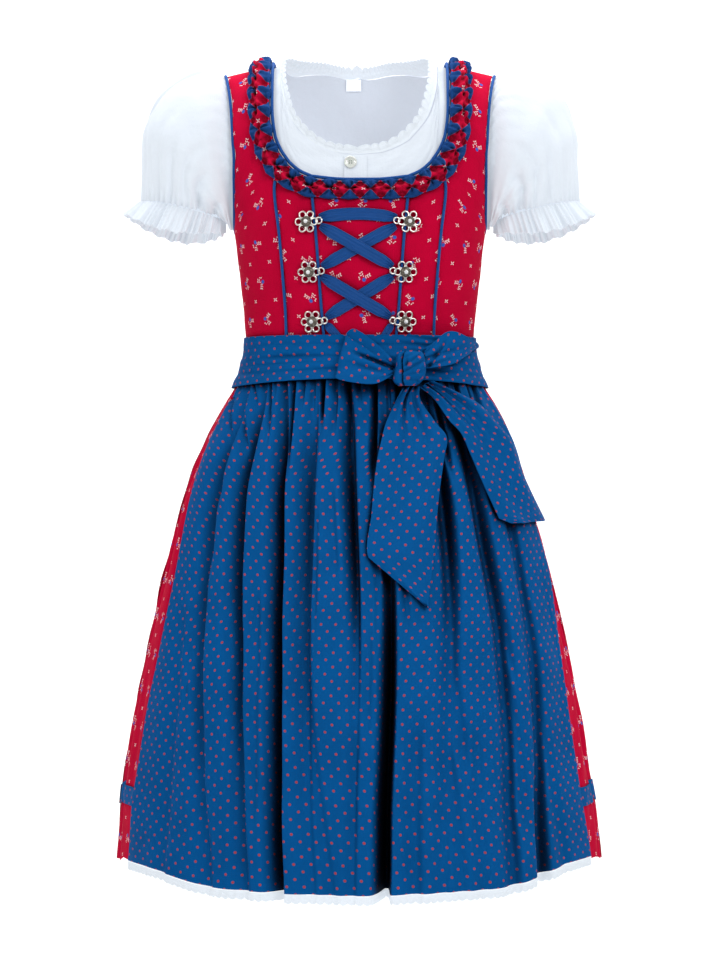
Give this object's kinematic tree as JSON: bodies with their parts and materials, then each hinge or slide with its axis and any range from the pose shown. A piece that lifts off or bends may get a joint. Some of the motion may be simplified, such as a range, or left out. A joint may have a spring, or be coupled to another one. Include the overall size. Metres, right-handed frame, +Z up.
{
  "type": "dirndl",
  "caption": "Child's dirndl with a laced bodice, gathered skirt, dotted apron tied in a bow and a puff-sleeved blouse, hollow as worn.",
  "frame": {"origin": "middle of the line that joins the two shoulder seams at the neck, where the wearer's shoulders hold the dress", "axes": "+Z up, -Y to the front, +X to the wearer's left"},
  "size_m": [0.4396, 0.4306, 0.7346],
  "materials": {
    "red_print_cotton": "woven cotton with a small printed sprig",
    "apron_cotton": "blue cotton sateen with small orange-red dots",
    "dotted_ribbon": "blue cotton with small orange-red dots",
    "ruche_cotton": "red print strip faced with blue, pinched",
    "blue_piping": "plain blue cotton",
    "blue_ribbon": "plain blue ribbon with a soft sheen",
    "blouse_cotton": "white batiste",
    "white_lace": "white cotton lace",
    "label_satin": "white satin, bare",
    "pearl": "pearly",
    "old_silver": "antique silver"
  },
  "bodies": {
    "root": {"apron_lace": "white_lace", "apron_panel": "apron_cotton", "armhole_piping_left": "blue_piping", "armhole_piping_right": "blue_piping", "blouse_back": "blouse_cotton", "blouse_front": "blouse_cotton", "bodice_back_left": "red_print_cotton", "bodice_back_right": "red_print_cotton", "bodice_centre_front": "red_print_cotton", "bodice_side_front_left": "red_print_cotton", "bodice_side_front_right": "red_print_cotton", "bodice_side_left": "red_print_cotton", "bodice_side_right": "red_print_cotton", "bow_knot": "apron_cotton", "bow_loop_left": "apron_cotton", "bow_loop_right": "apron_cotton", "bow_tail_left": "apron_cotton", "bow_tail_right": "apron_cotton", "button": "pearl", "cuff_frill_left": "blouse_cotton", "cuff_frill_right": "blouse_cotton", "hem_band_back": "dotted_ribbon", "hem_band_front": "dotted_ribbon", "hook_low_left": "old_silver", "hook_low_right": "old_silver", "hook_middle_left": "old_silver", "hook_middle_right": "old_silver", "hook_top_left": "old_silver", "hook_top_right": "old_silver", "lace_bar": "blue_ribbon", "lace_cross_low_over": "blue_ribbon", "lace_cross_low_under": "blue_ribbon", "lace_cross_top_over": "blue_ribbon", "lace_cross_top_under": "blue_ribbon", "lace_end_left": "blue_ribbon", "lace_end_right": "blue_ribbon", "neck_binding": "blue_piping", "neck_lace": "white_lace", "piping_inner_left": "blue_piping", "piping_inner_right": "blue_piping", "piping_outer_left": "blue_piping", "piping_outer_right": "blue_piping", "placket": "blouse_cotton", "ruche": "ruche_cotton", "size_label": "label_satin", "skirt_back": "red_print_cotton", "skirt_front": "red_print_cotton", "sleeve_left": "blouse_cotton", "sleeve_right": "blouse_cotton", "waist_tie_back": "apron_cotton", "waist_tie_front": "apron_cotton"}
  },
  "joints": []
}
